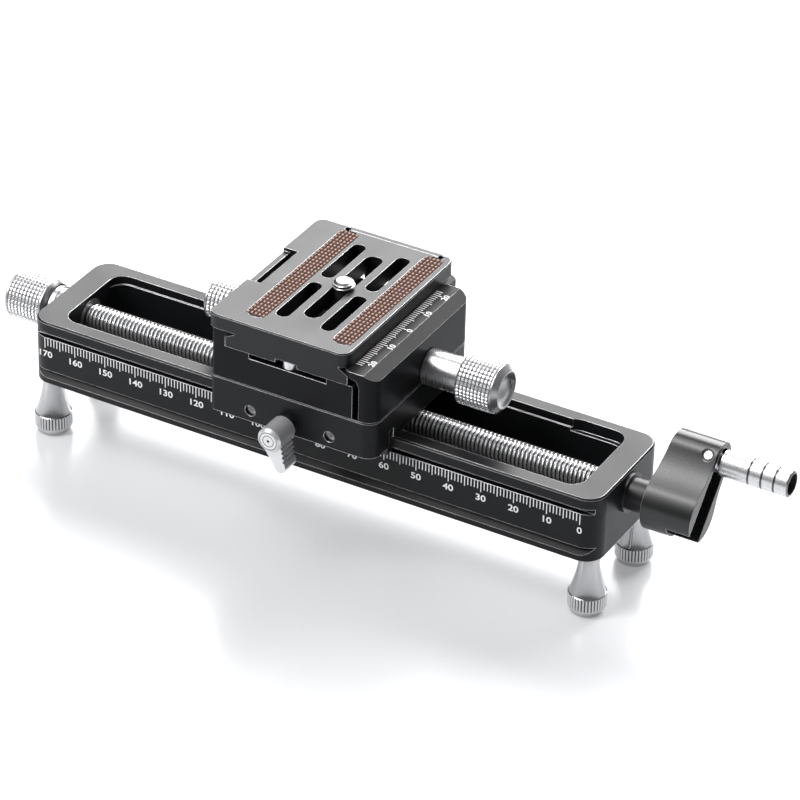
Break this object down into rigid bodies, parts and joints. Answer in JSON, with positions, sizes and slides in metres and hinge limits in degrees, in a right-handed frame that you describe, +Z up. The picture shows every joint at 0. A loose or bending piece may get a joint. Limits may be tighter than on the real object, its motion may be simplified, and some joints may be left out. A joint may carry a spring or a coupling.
{
  "type": "macro focusing rail",
  "caption": "Macro focusing rail: a crank-driven lead screw moves a clamp carriage with a sliding camera plate along a grooved, scaled bar on screw-in feet.",
  "frame": {"origin": "centre of the footprint's bounding box, on the surface the feet stand on", "axes": "+X along the rail towards the crank, +Y away from the lock lever side, +Z up to the camera plate"},
  "size_m": [0.2398, 0.0702, 0.069],
  "materials": {
    "black_anodised": "satin black anodised",
    "black_oxide_steel": "black oxide",
    "silver_aluminium": "fine turned, polished",
    "bright_steel": "bright turned",
    "nut_brass": "machined",
    "grip_rubber": "moulded, small pyramids"
  },
  "bodies": {
    "rail": {"rail_body": "black_anodised", "bush_right": "silver_aluminium", "bush_left": "silver_aluminium", "foot_front_left": "silver_aluminium", "foot_front_right": "silver_aluminium", "foot_rear_left": "silver_aluminium", "foot_rear_right": "silver_aluminium", "travel_stop": "bright_steel"},
    "drive": {"lead_screw": "bright_steel", "knob_ring_black": "black_oxide_steel", "drive_knob": "silver_aluminium", "knob_grub": "black_oxide_steel", "crank_sleeve": "black_oxide_steel", "crank_arm": "black_anodised", "crank_bolt": "black_oxide_steel", "crank_pin": "bright_steel"},
    "handle": {"handle_spindle": "bright_steel", "handle_end_screw": "black_oxide_steel"},
    "grip": {"handle_grip": "silver_aluminium"},
    "carriage": {"saddle": "black_anodised", "front_gib": "bright_steel", "rear_gib": "bright_steel", "gib_screw_front_left": "bright_steel", "gib_screw_front_right": "bright_steel", "gib_screw_rear_left": "bright_steel", "gib_screw_rear_right": "bright_steel", "nut_block": "black_anodised", "drive_nut": "nut_brass", "nut_screw_1": "black_oxide_steel", "nut_screw_2": "black_oxide_steel", "nut_screw_3": "black_oxide_steel", "nut_screw_4": "black_oxide_steel", "clamp_block": "black_anodised", "block_screw_1": "black_oxide_steel", "block_screw_2": "black_oxide_steel", "block_screw_3": "black_oxide_steel", "block_screw_4": "black_oxide_steel"},
    "lock": {"lock_screw": "bright_steel", "lock_collar_dark": "black_oxide_steel", "lock_lever": "silver_aluminium"},
    "jaw": {"movable_jaw": "black_anodised", "guide_pin_front": "bright_steel", "guide_pin_rear": "bright_steel"},
    "clamp_screw": {"clamp_spindle": "bright_steel", "clamp_knob": "silver_aluminium", "small_knob": "silver_aluminium", "spindle_ring": "bright_steel"},
    "camera_plate": {"plate": "black_anodised", "strip_left": "grip_rubber", "strip_right": "grip_rubber", "stop_screw_front": "bright_steel", "stop_screw_rear": "bright_steel"},
    "lip": {"anti_twist_lip": "black_anodised"},
    "screw_slider": {"camera_washer": "bright_steel"},
    "camera_screw_body": {"camera_screw": "bright_steel"}
  },
  "joints": [
    {"name": "drive_turn", "type": "hinge", "parent": "rail", "child": "drive", "pos_m": [-0.01265, 0.0051, 0.0314], "axis": [-1, 0, 0], "range_deg": [-18492, 12732]},
    {"name": "carriage_slide", "type": "slide", "parent": "rail", "child": "carriage", "axis": [1, 0, 0], "range_m": [-0.0642, 0.0442]},
    {"name": "handle_fold", "type": "hinge", "parent": "drive", "child": "handle", "pos_m": [0.09685, 0.01542, 0.0427], "axis": [0, 0.7385, -0.6743], "range_deg": [0, 90]},
    {"name": "grip_spin", "type": "hinge", "parent": "handle", "child": "grip", "pos_m": [0.10885, 0.01542, 0.0427], "axis": [1, 0, 0], "continuous": true},
    {"name": "lock_turn", "type": "hinge", "parent": "carriage", "child": "lock", "pos_m": [-0.01165, -0.0299, 0.0394], "axis": [0, 1, 0], "range_deg": [-90, 15]},
    {"name": "jaw_slide", "type": "slide", "parent": "carriage", "child": "jaw", "axis": [1, 0, 0], "range_m": [0, 0.004]},
    {"name": "clamp_turn", "type": "hinge", "parent": "jaw", "child": "clamp_screw", "pos_m": [0.01735, 0.0051, 0.0508], "axis": [1, 0, 0], "range_deg": [0, 1441]},
    {"name": "plate_slide", "type": "slide", "parent": "carriage", "child": "camera_plate", "axis": [0, 1, 0], "range_m": [-0.02, 0.02]},
    {"name": "lip_raise", "type": "slide", "parent": "camera_plate", "child": "lip", "axis": [0, 0, 1], "range_m": [0, 0.003]},
    {"name": "camera_screw_slide", "type": "slide", "parent": "camera_plate", "child": "screw_slider", "axis": [0, 1, 0], "range_m": [-0.0158, 0.0159]},
    {"name": "camera_screw_turn", "type": "hinge", "parent": "screw_slider", "child": "camera_screw_body", "pos_m": [-0.01235, 0.0057, 0.0622], "axis": [0, 0, 1], "continuous": true}
  ],
  "couplings": [
    {"joint": "drive_turn", "follows": "carriage_slide", "rad_per_m": 5026.5},
    {"joint": "clamp_turn", "follows": "jaw_slide", "rad_per_m": 6283.2}
  ]
}
